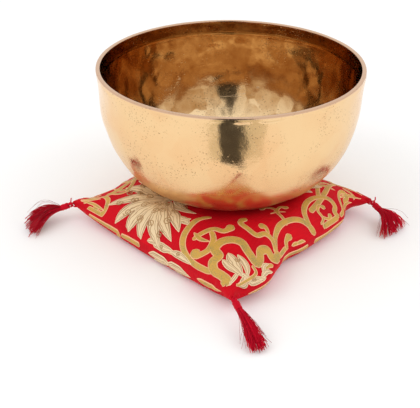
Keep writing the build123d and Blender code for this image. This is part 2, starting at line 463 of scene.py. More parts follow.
def cushionGrid():
    # flat cloth coordinates (to the right, to the back) and starting points of the upper and lower covers
    s = cushionShape
    lin = np.linspace(-1, 1, s["cells"] + 1)
    u, v = np.meshgrid(lin, lin, indexing="ij")
    half = s["side"] / 2
    flat = np.stack([(u - v), (u + v)], -1) * half / math.sqrt(2)
    # sides bow out between the corners, and both covers roll over the seam
    edge = 1 - np.maximum(np.abs(u), np.abs(v))
    roll = np.sin(math.pi * np.clip(edge / 0.36, 0, 1)) * (1 - np.minimum(np.abs(u), np.abs(v)) ** 4)
    middle, right, back = (np.array(x) for x in cushionFrame())

    def pinched(pinches):
        return sum(depth * (1 - u ** 2) / (1 - spot ** 2) * np.exp(-((u - spot) / breadth) ** 2)
                   for spot, depth, breadth in pinches)

    def spread(overhang):
        grow = 1 + overhang / half * roll
        bowedU = u * (1 + np.where(u > 0, s["backBow"], s["frontBow"]) * (1 - v ** 2)) * grow
        bowedV = v * (1 + np.where(v > 0, s["backBow"], s["frontBow"]) * (1 - u ** 2)
                      - np.where(v > 0, pinched(s["backPinches"]), pinched(s["frontPinches"]))) * grow
        across = np.stack([(bowedU - bowedV), (bowedU + bowedV)], -1) * half / math.sqrt(2)
        return middle + across[..., :1] * right + across[..., 1:] * back

    top, bottom = spread(s["topRoll"]), spread(s["bottomRoll"])
    bulge = (1 - u ** 2) * (1 - v ** 2)
    seam = s["seamHeight"] - s["seamDip"] * (1 - np.minimum(np.abs(u), np.abs(v)) ** 2)
    rounded = np.sqrt(1 - (1 - np.clip(bulge / s["shoulder"], 0, 1)) ** 2)
    top[..., 2] = seam + s["crown"] * bulge ** s["softness"]
    radius = np.hypot(top[..., 0], top[..., 1])
    top[..., 2] = np.minimum(top[..., 2], bowlUnderside(radius) - s["clearance"])
    bottom[..., 2] = seam - (seam - 0.0006) * rounded
    return flat, top, bottom


def cushionMesh():
    flat, top, bottom = cushionGrid()
    n = cushionShape["cells"] + 1
    upper = np.arange(n * n).reshape(n, n)
    lower = upper.copy()
    lower[1:-1, 1:-1] = n * n + np.arange((n - 2) ** 2).reshape(n - 2, n - 2)
    points = np.concatenate([top.reshape(-1, 3), bottom[1:-1, 1:-1].reshape(-1, 3)])
    faces, cloth = [], []
    for grid, shift in ((upper, 0.0), (lower, 1.0)):
        for i in range(n - 1):
            for j in range(n - 1):
                steps = ((i, j), (i + 1, j), (i + 1, j + 1), (i, j + 1))
                steps = steps[::-1] if shift else steps
                faces.append(tuple(int(grid[step]) for step in steps))
                cloth += [(flat[step][0] + shift, flat[step][1]) for step in steps]
    cushion = makeMesh("cushion_cover", points, faces)
    layer = cushion.data.uv_layers.new(name="cloth")
    layer.data.foreach_set("uv", np.array(cloth, np.float32).ravel())
    corners = [int(upper[i, j]) for i in (0, n - 1) for j in (0, n - 1)]
    return cushion, corners


def clothCollider(name, points, faces):
    made = makeMesh(name, points, faces)
    made.modifiers.new("collision", "COLLISION")
    made.collision.thickness_outer = 0.006
    made.collision.cloth_friction = 3
    made.collision.damping = 0.6
    made.collision.use_culling = False
    return made


clothFabric = {
    "quality": 5,
    "mass": 0.3,
    "tension_stiffness": 60,
    "compression_stiffness": 10,
    "shear_stiffness": 5,
    "bending_stiffness": 0.3,
    "tension_damping": 5,
    "compression_damping": 5,
    "shear_damping": 5,
    "bending_damping": 0.5,
    "air_damping": 2,
    "use_pressure": True,
    "use_pressure_volume": True,
    "uniform_pressure_force": 1.0,
    "shrink_min": -0.04,
}


def settleCushion(cushion, corners):
    # fills the cover by pressure, between the table and the bowl, held at its corners
    s = cushionShape
    scale = s["simScale"]
    cushion.data.transform(Matrix.Scale(scale, 4))
    ring = 96
    radii = [0.0005, 0.02, 0.04] + [0.057 + 0.0668 * math.sin(k * math.pi / 28) for k in range(15)]
    angles = [2 * math.pi * k / ring for k in range(ring)]
    points = []
    for radius in radii:
        z = scale * float(bowlUnderside(np.array(min(radius, 0.1237))))
        points += [(scale * radius * math.cos(a), scale * radius * math.sin(a), z) for a in angles]
    faces = [(q * ring + k, q * ring + (k + 1) % ring, (q + 1) * ring + (k + 1) % ring, (q + 1) * ring + k)
             for q in range(len(radii) - 1) for k in range(ring)]
    table = [(-4, -4, 0), (4, -4, 0), (4, 4, 0), (-4, 4, 0)]
    helpers = [clothCollider("bowl_press", points, faces),
               clothCollider("table_press", table, [(0, 1, 2, 3)])]
    cushion.vertex_groups.new(name="corners").add(corners, 1.0, "REPLACE")
    cloth = cushion.modifiers.new("cloth", "CLOTH")
    for name, value in clothFabric.items():
        setattr(cloth.settings, name, value)
    cloth.settings.target_volume = s["fullness"]
    cloth.settings.vertex_group_mass = "corners"
    cloth.settings.effector_weights.gravity = 0
    cloth.collision_settings.distance_min = 0.006
    cloth.collision_settings.collision_quality = 3
    cloth.collision_settings.use_self_collision = False
    cloth.point_cache.frame_start = 1
    cloth.point_cache.frame_end = s["frames"]
    for number in range(1, s["frames"] + 1):
        scene.frame_set(number)
    mesh = evaluatedMesh(cushion)
    for helper in helpers:
        bpy.data.objects.remove(helper)
    bpy.data.objects.remove(cushion)
    scene.frame_set(1)
    mesh.transform(Matrix.Scale(1 / scale, 4))
    return makeObject("cushion_cover", mesh)


satinLook = {
    "Roughness": 0.6,
    "Sheen Weight": 0.04,
    "Sheen Tint": (1.0, 0.15, 0.15, 1),
    "Specular IOR Level": 0.08,
}
brocadeLook = {
    "red": (0.64, 0.004, 0.012, 1),
    "deepRed": (0.46, 0.002, 0.010, 1),
    "threadsPerMetre": 2400.0,
    "weaveBump": 0.00012,
}


def makeBrocade():
    material, tree, shader = newMaterial("red_satin")
    cloth = addNode(tree, "ShaderNodeUVMap", uv_map="cloth").outputs[0]
    turned = stretched(tree, cloth, (1, 1, 1), (0, 0, math.radians(45)))
    parts = addNode(tree, "ShaderNodeSeparateXYZ", {0: turned})
    count = brocadeLook["threadsPerMetre"]
    warp = addMath(tree, "SINE", times(tree, parts.outputs[0], count))
    weft = addMath(tree, "SINE", times(tree, parts.outputs[1], count * 0.45))
    slub = noise(tree, stretched(tree, turned, (1200, 60, 1)), 1.0, 2)
    height = plus(tree, plus(tree, times(tree, warp, 0.6), times(tree, weft, 0.3)), slub)
    cloud = noise(tree, cloth, 35, 3)
    shade = plus(tree, times(tree, cloud, 0.6), times(tree, slub, 0.4))
    color = mixColor(tree, ramp(tree, shade, 0.35, 0.65), brocadeLook["deepRed"], brocadeLook["red"])
    bump = addBump(tree, height, 0.5, brocadeLook["weaveBump"])
    fillInputs(tree, shader, {"Base Color": color, "Normal": bump.outputs[0], **satinLook})
    return material


def smoothed(source, name, levels=1):
    modifier = source.modifiers.new("rounding", "SUBSURF")
    modifier.levels = modifier.render_levels = levels
    mesh = evaluatedMesh(source)
    bpy.data.objects.remove(source)
    mesh.shade_smooth()
    return makeObject(name, mesh)


def makeCushion():
    cushion, corners = cushionMesh()
    cushion = settleCushion(cushion, corners)
    cushion = smoothed(cushion, "cushion_cover")
    cushion.data.materials.clear()
    cushion.data.materials.append(makeBrocade())
    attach(cushion, "cushion")
    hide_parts("cushion_top_cover", "cushion_bottom_cover", "cushion_stuffing")
    print("cushion done,", len(cushion.data.polygons), "faces")
    return cushion


silkLook = {
    "Roughness": 0.5,
    "Sheen Weight": 0.03,
    "Sheen Tint": (1.0, 0.3, 0.35, 1),
    "Specular IOR Level": 0.12,
}
threadLook = {
    "crimson": (0.46, 0.001, 0.014, 1),
    "bright": (0.70, 0.003, 0.024, 1),
    "stray": (0.20, 0.055, 0.06, 1),
    "fibreBump": 0.00008,
}


def makeThread(name, dark, bright):
    material, tree, shader = newMaterial(name)
    strand = addNode(tree, "ShaderNodeAttribute", attribute_name="strand").outputs["Fac"]
    place = addNode(tree, "ShaderNodeTexCoord").outputs["Object"]
    fibre = noise(tree, place, 2600, 2)
    share = plus(tree, times(tree, strand, 0.7), times(tree, fibre, 0.3))
    color = mixColor(tree, share, dark, bright)
    bump = addBump(tree, fibre, 0.4, threadLook["fibreBump"])
    fillInputs(tree, shader, {"Base Color": color, "Normal": bump.outputs[0], **silkLook})
    return material


def makeStrandTree(material):
    # turns curves into round threads, each with its own shade
    tree, given = newGeometryTree("strands", {"Facets": "Int", "Seed": "Int"})
    shade = addNode(tree, "FunctionNodeRandomValue", {"Seed": given["Seed"]}, data_type="FLOAT").outputs[1]
    marked = storeAttribute(tree, given["Geometry"], "strand", shade, domain="CURVE")
    ring = addNode(tree, "GeometryNodeCurvePrimitiveCircle", {"Resolution": given["Facets"], "Radius": 1.0})
    radius = addNode(tree, "GeometryNodeInputRadius").outputs[0]
    tubes = addNode(tree, "GeometryNodeCurveToMesh", {"Curve": marked, "Profile Curve": ring.outputs[0],
                                                      "Fill Caps": True})
    if "Scale" in tubes.inputs:
        tree.links.new(radius, tubes.inputs["Scale"])
    endGeometryTree(tree, smoothShaded(tree, tubes.outputs[0]), material)
    return tree


def makeStrands(name, paths, tree, facets=3, seed=1):
    # paths holds (points, radius or list of radii, closed)
    curve = bpy.data.curves.new(name, "CURVE")
    curve.dimensions = "3D"
    for points, radius, closed in paths:
        spline = curve.splines.new("POLY")
        spline.points.add(len(points) - 1)
        radii = np.broadcast_to(radius, len(points))
        for target, point, size in zip(spline.points, points, radii):
            target.co = (*map(float, point), 1)
            target.radius = float(size)
        spline.use_cyclic_u = closed
    return runTree(makeObject(name, curve), tree, {"Facets": facets, "Seed": seed}, name)


tasselLook = {
    "threads": 190,
    "threadRadius": 0.00027,
    "neckStart": 0.0016,
    "neckEnd": 0.0095,
    "neckRadius": 0.0026,
    "knotClearance": 0.0031,  # from the knot's middle to the first of the threads
    "strayRadius": 0.00012,
    "left": {"length": 0.046, "fan": 0.0150, "depth": 0.0085, "bend": 0.011,
             "strays": 11, "curl": 0.012, "seed": 3},
    "front": {"length": 0.050, "fan": 0.0080, "depth": 0.0030, "bend": 0.0,
              "strays": 9, "curl": 0.001, "seed": 5},
    "right": {"length": 0.039, "fan": 0.0165, "depth": 0.0060, "bend": -0.007,
              "strays": 11, "curl": 0.001, "seed": 8},
    "back": {"length": 0.045, "fan": 0.0110, "depth": 0.0040, "bend": 0.002,
             "strays": 8, "curl": 0.004, "seed": 11},
}


def tasselFrame(side):
    joints = {j["name"]: j for j in frame["joints"]}
    knot = Vector(joints[side + "_tassel_lift"]["pos_m"])
    hole = Vector(joints[side + "_tassel_swing"]["pos_m"])
    outward = (knot - hole).normalized()
    sideways = Vector((-outward.y, outward.x, 0))
    drop = math.asin((knot.z - 0.0034) / tasselLook[side]["length"])
    along = outward * math.cos(drop) - Vector((0, 0, math.sin(drop)))
    upward = along.cross(sideways) * -1
    return hole, knot, outward, sideways, along, upward


def skirtPaths(side, loose=False):
    s, own = tasselLook, tasselLook[side]
    _, knot, _, sideways, along, upward = tasselFrame(side)
    upward = upward if upward.z > 0 else -upward
    rand = random.Random(own["seed"] + (100 if loose else 0))
    paths = []
    for _ in range(own["strays"] if loose else s["threads"]):
        angle = rand.uniform(0, 2 * math.pi)
        spread = math.sqrt(rand.random())
        x0, z0 = s["neckRadius"] * spread * math.cos(angle), s["neckRadius"] * spread * math.sin(angle)
        reach = own["length"] * (rand.uniform(0.82, 1.03) - 0.06 * spread)
        fanX = own["fan"] * (spread * math.cos(angle) + rand.gauss(0, 0.13))
        fanZ = own["depth"] * (spread * math.sin(angle) + rand.gauss(0, 0.10))
        arch, lean = 0.0, 0.0
        if loose:
            reach *= rand.uniform(0.85, 1.06)
            way = rand.choice((-1, 1))
            fanX = own["fan"] * way * rand.uniform(1.0, 1.5)
            arch = own["curl"] * rand.uniform(0.1, 1.0)
            lean = own["curl"] * rand.uniform(-0.2, 0.9)
        phase, waves, wobble = rand.uniform(0, 6.3), rand.uniform(0.6, 1.7), rand.uniform(0.0002, 0.0011)
        # threads start clear of the round knot
        clear = math.sqrt(s["knotClearance"] ** 2 - 0.64 * (x0 ** 2 + z0 ** 2))
        points = [knot + along * clear + sideways * x0 * 0.8 + upward * z0 * 0.8]
        count = 14
        for k in range(count + 1):
            t = k / count
            ease = t ** 1.1
            x = x0 * (1 - ease) + fanX * ease + own["bend"] * t * t
            x += wobble * math.sin(phase + waves * 6.3 * t) * t
            z = z0 * (1 - ease) + fanZ * ease + 0.0030 * math.sin(math.pi * t)
            z += arch * math.sin(math.pi * t ** 0.8) + lean * t * t
            z += wobble * math.cos(phase + waves * 5 * t) * t
            point = knot + along * (s["neckEnd"] + (reach - s["neckEnd"]) * t) + sideways * x + upward * z
            point.z = max(point.z, 0.0005 + 0.0003 * rand.random())
            points.append(point)
        size = s["strayRadius"] if loose else s["threadRadius"] * rand.uniform(0.75, 1.15)
        paths.append((points, size, False))
    return paths


bindingLook = {
    "pitch": 0.00066,
    "threadRadius": 0.00036,
    "radius": 0.00275,
    "unevenness": 0.00012,
    "steps": 14,  # points in a turn
}


def bindingPaths(side):
    s, b = tasselLook, bindingLook
    _, knot, _, sideways, along, upward = tasselFrame(side)
    turns = (s["neckEnd"] - s["neckStart"] - 0.0006) / b["pitch"]
    points = []
    for k in range(int(turns * b["steps"]) + 1):
        a = 2 * math.pi * k / b["steps"]
        radius = b["radius"] + b["unevenness"] * math.sin(k * 0.37)
        points.append(knot + along * (s["neckStart"] + 0.0004 + b["pitch"] * k / b["steps"])
                      + (sideways * math.cos(a) + upward * math.sin(a)) * radius)
    return [(points, b["threadRadius"], False)]


knotLook = {
    "radius": 0.00215,  # to the middle of the wound cord
    "cordRadius": 0.00062,
    "steps": 220,
    "tailHeight": 0.0046,
    "tailRadius": 0.0006,
}


def knotPaths(side):
    _, knot, outward, sideways, _, _ = tasselFrame(side)
    up = Vector((0, 0, 1))
    points = []
    for k in range(knotLook["steps"]):
        a = k * 0.19
        b = 1.15 * math.sin(a * 0.531)
        direction = outward * math.cos(a) * math.cos(b) + sideways * math.sin(a) * math.cos(b)
        points.append(knot + (direction + up * math.sin(b)) * knotLook["radius"])
    paths = [(points, knotLook["cordRadius"], False)]
    # two short cut ends stand up from the knot like horns
    for way in (-1, 1):
        tail = []
        for k in range(9):
            t = k / 8
            reach = 0.0020 + 0.0022 * math.sin(min(1.57, 2.5 * t))
            lift = 0.0004 + knotLook["tailHeight"] * t
            tail.append(knot + sideways * way * reach + up * lift - outward * (0.0003 + 0.0010 * t))
        paths.append((tail, [knotLook["tailRadius"]] * 8 + [knotLook["tailRadius"] * 0.75], False))
    return paths


loopLook = {
    "radius": 0.0030,
    "strand": 0.00033,  # from the cord's middle to the middle of each of its two strands
    "strandRadius": 0.00036,
    "steps": 120,
    "twists": 9,
}


def loopPaths(side):
    s = loopLook
    hole, _, outward, sideways, _, _ = tasselFrame(side)
    up = Vector((0, 0, 1))
    middle = hole + outward * s["radius"]
    paths = []
    for start in (0, math.pi):
        points = []
        for k in range(s["steps"]):
            a = 2 * math.pi * k / s["steps"]
            radial = outward * math.cos(a) + up * math.sin(a)
            twist = start + s["twists"] * a
            points.append(middle + radial * (s["radius"] + s["strand"] * math.cos(twist))
                          + sideways * s["strand"] * math.sin(twist))
        paths.append((points, s["strandRadius"], True))
    return paths


def makeTassels():
    tree = makeStrandTree(makeThread("crimson_thread", threadLook["crimson"], threadLook["bright"]))
    made = (("skirt", skirtPaths, 3, "tassel"), ("binding", bindingPaths, 6, "tassel"),
            ("knot", knotPaths, 7, "knot"), ("loop", loopPaths, 6, "knot"))
    for side in sides:
        for part, paths, facets, body in made:
            piece = makeStrands(f"{side}_{part}", paths(side), tree, facets, tasselLook[side]["seed"])
            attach(piece, f"{side}_{body}")
            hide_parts(f"tassel_{side}_{part}")
        print(side, "tassel done")
    tree = makeStrandTree(makeThread("stray_thread", threadLook["stray"], threadLook["crimson"]))
    for side in sides:
        piece = makeStrands(side + "_strays", skirtPaths(side, True), tree, 3, tasselLook[side]["seed"])
        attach(piece, side + "_tassel")
    print("loose threads done")


# motifs on the flat cloth, in millimetres to the right and to the back of its middle;
# each is (half width, shape, points), and a bulb is a swollen, rounded end
goldMotifs = [
    (2.5, "bulb", [(-133, -9), (-124, -5), (-114, -7), (-109, -15), (-111, -25), (-118, -28), (-123, -22),
                   (-119, -17)]),
    (2.7, "band", [(-113, -6), (-104, 4), (-94, 16), (-84, 32), (-76, 44)]),
    (2.0, "band", [(-134, -16), (-127, -20), (-119, -28)]),
    (2.8, "band", [(-14, -56), (-27, -63), (-37, -77), (-39, -92), (-33, -106), (-22, -117), (-13, -121)]),
    (2.9, "bulb", [(-31, -86), (-24, -80), (-14, -76), (-5, -79), (4, -73)]),
    (3.2, "bulb", [(-16, -78), (-15, -88), (-19, -99), (-27, -102), (-31, -96)]),
    (2.2, "leaf", [(-30, -78), (-25, -86), (-17, -90)]),
    (3.9, "band", [(-8, -140), (-4, -132), (-8, -126), (-14, -120), (-15, -112), (-11, -106), (-14, -98),
                   (-9, -91), (0, -89), (8, -92), (12, -100), (18, -109), (22, -105), (24, -98), (31, -96),
                   (36, -101), (43, -100), (47, -98)]),
    (2.9, "bulb", [(41, -95), (38, -86), (31, -82), (23, -84), (16, -77), (11, -69), (17, -61)]),
    (2.3, "bulb", [(35, -82), (33, -75), (27, -73)]),
    (1.9, "bulb", [(46, -50), (44, -41), (37, -37), (32, -42)]),
    (1.9, "bulb", [(53, -68), (48, -57), (46, -47), (50, -39), (57, -42)]),
    (1.5, "leaf", [(40, -52), (46, -48), (53, -50)]),
    (2.9, "band", [(41, -97), (42, -84), (48, -69), (57, -60), (67, -57), (76, -60), (83, -66)]),
    (2.7, "band", [(82, -66), (74, -58), (70, -46), (75, -32), (85, -22), (96, -20), (103, -27), (102, -34),
                   (107, -38)]),
    (2.4, "band", [(106, -38), (101, -46), (92, -55)]),
    (1.8, "bulb", [(87, -53), (89, -46), (84, -40), (86, -33), (92, -34)]),
    (1.8, "bulb", [(88, -45), (95, -44), (97, -38)]),
    (2.2, "band", [(88, -20), (91, -8), (96, 3)]),
    (2.2, "leaf", [(92, -2), (101, -1), (110, -9)]),
    (2.0, "leaf", [(93, 3), (103, 5), (113, 1)]),
    (2.6, "bulb", [(110, -36), (115, -26), (113, -15), (119, -8), (125, -13), (121, -20)]),
    (2.0, "leaf", [(119, -1), (128, -3), (132, -11)]),
    (2.0, "leaf", [(120, -27), (125, -21), (131, -15)]),
    (2.4, "bulb", [(58, -91), (55, -83), (58, -75)]),
    (1.5, "leaf", [(61, -84), (65, -80), (67, -76)]),
    (1.5, "leaf", [(66, -82), (70, -78), (76, -78)]),
    (2.0, "band", [(45, -98), (56, -88)]),
    (2.2, "bulb", [(36, -107), (28, -110), (25, -116)]),
    (1.8, "band", [(-60, -82), (-52, -90), (-40, -98)]),
    (1.5, "leaf", [(114, -16), (126, -10), (138, -4)]),
    (1.5, "leaf", [(116, 10), (127, 7), (138, 3)]),
    (1.6, "leaf", [(-112, -26), (-124, -13), (-138, -3)]),
    (1.4, "leaf", [(-116, 12), (-127, 8), (-138, 3)]),
    (1.5, "band", [(14, -112), (17, -118), (12, -126), (4, -137)]),
]
creamMotifs = [
    (8.5, "leaf", [(-62, -16), (-78, -4), (-97, 4)]),
    (7.5, "leaf", [(-60, -10), (-72, 6), (-84, 14)]),
    (7.0, "leaf", [(-64, -22), (-86, -18), (-108, -21)]),
    (7.5, "leaf", [(-64, -28), (-84, -32), (-103, -42)]),
    (7.5, "leaf", [(-63, -33), (-80, -44), (-94, -57)]),
    (6.5, "leaf", [(-61, -36), (-73, -52), (-82, -69)]),
    (6.0, "leaf", [(-58, -38), (-64, -60), (-62, -86)]),
    (5.5, "leaf", [(-55, -37), (-55, -60), (-49, -82)]),
    (5.5, "leaf", [(-52, -34), (-46, -54), (-42, -75)]),
    (5.0, "leaf", [(-49, -30), (-38, -40), (-27, -49)]),
    (5.0, "leaf", [(-47, -22), (-36, -26), (-24, -29)]),
    (5.5, "leaf", [(-56, -18), (-70, -16), (-84, -22)]),
    (5.5, "leaf", [(-57, -20), (-70, -27), (-82, -38)]),
    (5.0, "leaf", [(-56, -24), (-66, -36), (-74, -50)]),
    (4.6, "leaf", [(-54, -26), (-60, -42), (-60, -60)]),
    (4.4, "leaf", [(-50, -25), (-50, -40), (-47, -56)]),
    (4.5, "leaf", [(-54, -14), (-64, -4), (-77, 0)]),
    (4.2, "leaf", [(-46, -18), (-42, -30), (-36, -38)]),
    (7.0, "leaf", [(-42, -8), (-54, -18), (-64, -28)]),
    (2.6, "bulb", [(-84, -46), (-77, -42), (-70, -46), (-72, -52)]),
    (4.0, "leaf", [(-43, -55), (-38, -62), (-33, -69)]),
    (3.6, "leaf", [(-44, -63), (-38, -62), (-32, -61)]),
    (2.6, "leaf", [(-73, -71), (-66, -75), (-62, -83)]),
    (3.4, "leaf", [(-68, -76), (-58, -84), (-48, -92)]),
    (3.2, "leaf", [(-52, -90), (-43, -97), (-34, -108)]),
    (4.4, "leaf", [(-4, -103), (0, -112), (7, -124)]),
    (3.4, "leaf", [(-8, -110), (-1, -119), (8, -126)]),
    (3.0, "leaf", [(3, -104), (9, -113), (11, -124)]),
    (3.6, "leaf", [(6, -122), (16, -127), (26, -119)]),
    (3.6, "leaf", [(9, -124), (9, -135), (5, -145)]),
    (2.6, "leaf", [(12, -126), (18, -130), (23, -124)]),
    (2.4, "leaf", [(22, -120), (27, -114), (34, -113)]),
    (2.0, "leaf", [(24, -117), (25, -110), (31, -107)]),
    (1.7, "leaf", [(4, -122), (1, -130), (-3, -138)]),
]
# places of the fine brown curls on the large flower, with their size and starting angle
flowerCurls = [
    (-91, -8, 4.5, 0), (-79, 3, 4.0, 1), (-97, -22, 3.6, 2), (-89, -37, 4.2, 3), (-77, -49, 4.4, 4),
    (-67, -58, 3.8, 5), (-59, -72, 3.6, 0), (-51, -61, 4.0, 1), (-45, -47, 3.8, 2), (-37, -35, 3.6, 3),
    (-72, -16, 4.6, 4), (-63, -30, 4.4, 5), (-74, -33, 4.2, 0), (-56, -45, 4.0, 1), (-84, -22, 4.2, 2),
    (-54, -30, 3.8, 3), (-63, -44, 3.6, 4), (-82, -11, 3.4, 5), (-68, -4, 3.8, 0), (-47, -20, 3.6, 1),
    (3, -110, 2.2, 2), (16, -124, 2.0, 3), (-60, -82, 2.0, 4), (-45, -95, 2.0, 5),
]
# strips that show on the lower cover beside the seam
lowerGold = [
    (1.9, "band", [(50, -94), (62, -81), (74, -70)]),
    (1.9, "band", [(80, -64), (92, -51), (104, -40), (113, -30)]),
    (2.0, "leaf", [(12, -131), (22, -121), (34, -110)]),
    (1.9, "bulb", [(-128, -16), (-112, -32), (-100, -44), (-96, -40)]),
    (1.9, "band", [(-96, -47), (-88, -56), (-79, -65)]),
    (2.0, "leaf", [(-30, -114), (-20, -124), (-10, -134)]),
]
lowerCream = [
    (3.2, "leaf", [(-70, -72), (-60, -83), (-50, -92)]),
    (3.0, "leaf", [(-62, -72), (-58, -80), (-52, -88)]),
    (3.6, "leaf", [(-54, -88), (-45, -97), (-36, -106)]),
    (2.6, "leaf", [(-44, -90), (-40, -99), (-34, -106)]),
]
ornamentLook = {
    "gold": (0.60, 0.34, 0.060, 1),
    "goldShade": (0.31, 0.25, 0.085, 1),
    "outline": (0.86, 0.47, 0.25, 1),
    "cream": (0.80, 0.62, 0.38, 1),
    "creamShade": (0.62, 0.42, 0.20, 1),
    "brown": (0.27, 0.11, 0.03, 1),
    "creamRim": (0.86, 0.68, 0.42, 1),
    "outlineWidth": 0.00062,
    "weaveBump": 0.00012,
    "step": 0.9,  # spacing of the rings along a motif, in millimetres
    "seamMargin": 0.0012,
    "cornerMargin": 0.0105,  # on top of the seam's
}
ornamentRaise = {"Raise": 0.00030, "Sink": 0.00035}


def makeOrnamentMaterial(kind):
    material, tree, shader = newMaterial(kind + "_thread")
    look = ornamentLook
    across = addNode(tree, "ShaderNodeAttribute", attribute_name="across").outputs["Fac"]
    width = addNode(tree, "ShaderNodeAttribute", attribute_name="width").outputs["Fac"]
    place = addNode(tree, "ShaderNodeTexCoord").outputs["Object"]
    middle = addMath(tree, "ABSOLUTE", across)
    border = minus(tree, 1.0, addMath(tree, "DIVIDE", look["outlineWidth"], width))
    rim = ramp(tree, minus(tree, middle, border), -0.06, 0.02)
    speck = noise(tree, place, 1500, 2)
    turned = addNode(tree, "ShaderNodeSeparateXYZ", {0: stretched(tree, place, (1, 1, 1), (0, 0, 0.8))})
    weave = addMath(tree, "SINE", times(tree, turned.outputs[0], 3800.0))
    if kind == "brown":
        color = mixColor(tree, speck, look["brown"], look["creamShade"])
    elif kind == "gold":
        patch = plus(tree, speck, times(tree, noise(tree, place, 120, 2), 0.5))
        patch = ramp(tree, patch, 0.74, 0.90)
        color = mixColor(tree, patch, look["gold"], look["goldShade"])
        color = mixColor(tree, rim, color, look["outline"])
    else:
        # brown veins along the leaf, crossed by finer hatching
        veins = plus(tree, across, times(tree, noise(tree, place, 130, 1), 0.8))
        veins = addMath(tree, "PINGPONG", veins, 0.34)
        hatch = ramp(tree, addMath(tree, "ABSOLUTE", weave), 0.5, 1.0)
        color = mixColor(tree, times(tree, hatch, 0.35), look["cream"], look["creamShade"])
        lines = minus(tree, 1.0, ramp(tree, veins, 0.02, 0.075))
        lines = times(tree, lines, minus(tree, 1.0, rim))
        edge = ramp(tree, minus(tree, middle, border), -0.30, -0.12)
        edge = times(tree, edge, minus(tree, 1.0, rim))
        drawn = times(tree, addMath(tree, "MAXIMUM", lines, edge), 0.85)
        color = mixColor(tree, drawn, color, look["brown"])
        color = mixColor(tree, rim, color, look["creamRim"])
    height = plus(tree, speck, times(tree, weave, 0.5))
    bump = addBump(tree, height, 0.6, look["weaveBump"])
    inputs = {"Base Color": color, "Normal": bump.outputs[0], "Roughness": 0.5, "Specular IOR Level": 0.35}
    fillInputs(tree, shader, inputs)
    return material


def smoothPath(points, step):
    # an even Catmull-Rom path through the points
    nodes = np.array([points[0]] + list(points) + [points[-1]], float)
    nodes[0] = 2 * nodes[1] - nodes[2]
    nodes[-1] = 2 * nodes[-2] - nodes[-3]
    t = np.linspace(0, 1, 24, endpoint=False)[:, None]
    parts = []
    for k in range(1, len(nodes) - 2):
        p0, p1, p2, p3 = nodes[k - 1:k + 3]
        parts.append(0.5 * (2 * p1 + (p2 - p0) * t + (2 * p0 - 5 * p1 + 4 * p2 - p3) * t ** 2
                            + (3 * p1 - p0 - 3 * p2 + p3) * t ** 3))
    path = np.concatenate(parts + [nodes[-2:-1]])
    length = np.concatenate([[0], np.cumsum(np.linalg.norm(np.diff(path, axis=0), axis=1))])
    count = max(6, int(length[-1] / step))
    wanted = np.linspace(0, length[-1], count + 1)
    return np.stack([np.interp(wanted, length, path[:, k]) for k in (0, 1)], -1), wanted, length[-1]


def motifRadii(shape, width, along, total):
    t = along / total
    ends = np.sqrt(np.clip(1 - (1 - np.clip(np.minimum(along, total - along) / width, 0, 1)) ** 2, 0.02, 1))
    if shape == "leaf":
        return width * np.clip(np.sin(math.pi * t ** 0.8) ** 0.75, 0.06, 1)
    if shape == "bulb":
        swell = np.exp(-((total - along - 1.3 * width) / (1.1 * width)) ** 2)
        return width * (0.75 + 0.25 * t + 0.45 * swell) * ends
    return width * ends


